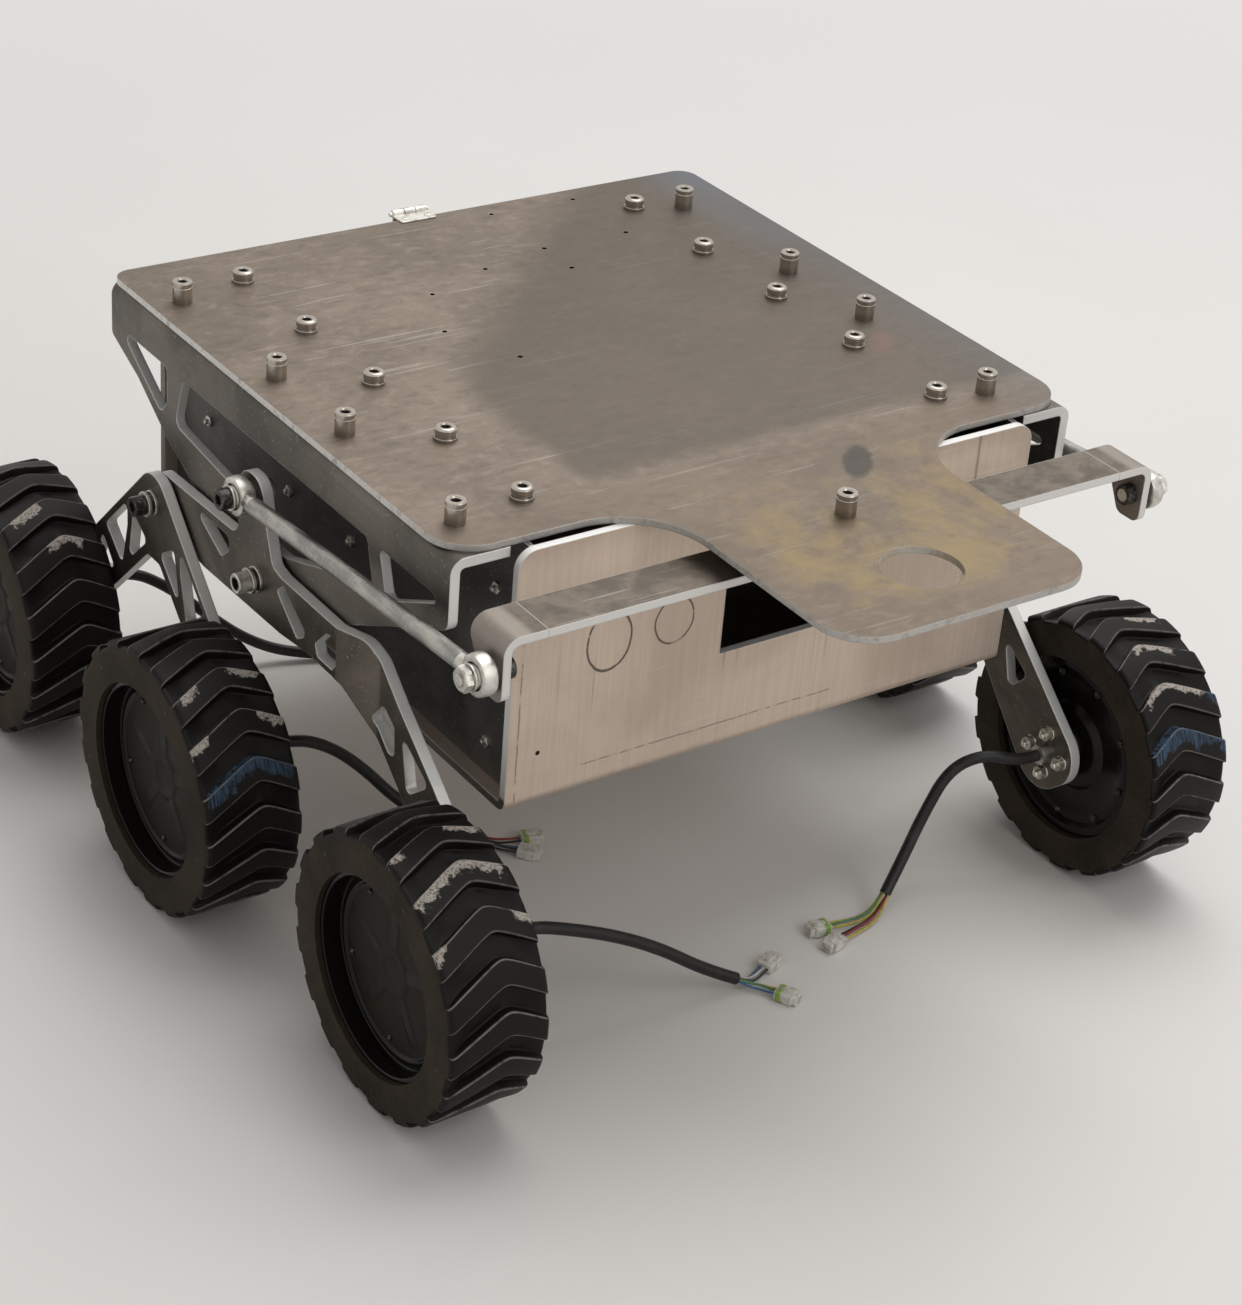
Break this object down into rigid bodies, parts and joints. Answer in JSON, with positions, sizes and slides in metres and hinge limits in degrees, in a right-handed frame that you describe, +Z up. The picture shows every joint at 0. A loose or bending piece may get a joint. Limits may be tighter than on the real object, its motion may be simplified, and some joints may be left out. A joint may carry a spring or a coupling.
{
  "type": "planetary rover chassis",
  "caption": "Wheeled planetary rover chassis: flat sheet deck with a front tongue over a bent tub, plate rockers and bogies, a differential bar with tie rods, and lugged hub-motor wheels.",
  "frame": {"origin": "centre of the rover's footprint on the floor, under the middle of its length and width", "axes": "-Y forward, towards the deck's tongue; +X to the side that a viewer in front sees on the right; +Z up"},
  "size_m": [0.604, 0.6844, 0.326],
  "materials": {
    "deck_sheet": "brushed",
    "bare_sheet": "satin",
    "zinc": "satin",
    "black_bolt": "satin",
    "hub_cover": "matte",
    "tyre": "matte",
    "cable": "matte",
    "leads": "satin",
    "plug": "matte"
  },
  "bodies": {
    "chassis": {"axle_front_left": "zinc", "axle_front_right": "zinc", "axle_middle_left": "zinc", "axle_middle_right": "zinc", "axle_rear_left": "zinc", "axle_rear_right": "zinc", "bar_pivot": "zinc", "bogie_left": "bare_sheet", "bogie_right": "bare_sheet", "cable_front_left": "cable", "cable_front_right": "cable", "cable_middle_left": "cable", "cable_rear_left": "cable", "deck_hinge": "zinc", "deck_plate": "deck_sheet", "differential_bar": "bare_sheet", "leads_front_left": "leads", "leads_front_right": "leads", "leads_middle_left": "leads", "leads_rear_left": "leads", "pivot_bolts_left": "black_bolt", "pivot_bolts_right": "black_bolt", "plugs_front_left": "plug", "plugs_front_right": "plug", "plugs_middle_left": "plug", "plugs_rear_left": "plug", "rocker_left": "bare_sheet", "rocker_right": "bare_sheet", "rod_bolts_left": "black_bolt", "rod_bolts_right": "black_bolt", "side_frame_left": "bare_sheet", "side_frame_right": "bare_sheet", "side_panel_left": "bare_sheet", "side_panel_right": "bare_sheet", "standoffs_short": "zinc", "standoffs_tall": "zinc", "tie_rod_left": "zinc", "tie_rod_right": "zinc", "tub_sheet": "bare_sheet"},
    "wheel_front_left": {"tyre_front_left": "tyre", "hub_front_left": "hub_cover"},
    "wheel_front_right": {"tyre_front_right": "tyre", "hub_front_right": "hub_cover"},
    "wheel_middle_left": {"tyre_middle_left": "tyre", "hub_middle_left": "hub_cover"},
    "wheel_middle_right": {"tyre_middle_right": "tyre", "hub_middle_right": "hub_cover"},
    "wheel_rear_left": {"tyre_rear_left": "tyre", "hub_rear_left": "hub_cover"},
    "wheel_rear_right": {"tyre_rear_right": "tyre", "hub_rear_right": "hub_cover"}
  },
  "joints": [
    {"name": "front_left_wheel_spin", "type": "hinge", "parent": "chassis", "child": "wheel_front_left", "pos_m": [-0.251, -0.2075, 0.085], "axis": [1, 0, 0], "continuous": true},
    {"name": "front_right_wheel_spin", "type": "hinge", "parent": "chassis", "child": "wheel_front_right", "pos_m": [0.251, -0.2075, 0.085], "axis": [1, 0, 0], "continuous": true},
    {"name": "middle_left_wheel_spin", "type": "hinge", "parent": "chassis", "child": "wheel_middle_left", "pos_m": [-0.271, 0.025, 0.085], "axis": [1, 0, 0], "continuous": true},
    {"name": "middle_right_wheel_spin", "type": "hinge", "parent": "chassis", "child": "wheel_middle_right", "pos_m": [0.271, 0.025, 0.085], "axis": [1, 0, 0], "continuous": true},
    {"name": "rear_left_wheel_spin", "type": "hinge", "parent": "chassis", "child": "wheel_rear_left", "pos_m": [-0.271, 0.2575, 0.085], "axis": [1, 0, 0], "continuous": true},
    {"name": "rear_right_wheel_spin", "type": "hinge", "parent": "chassis", "child": "wheel_rear_right", "pos_m": [0.271, 0.2575, 0.085], "axis": [1, 0, 0], "continuous": true}
  ]
}
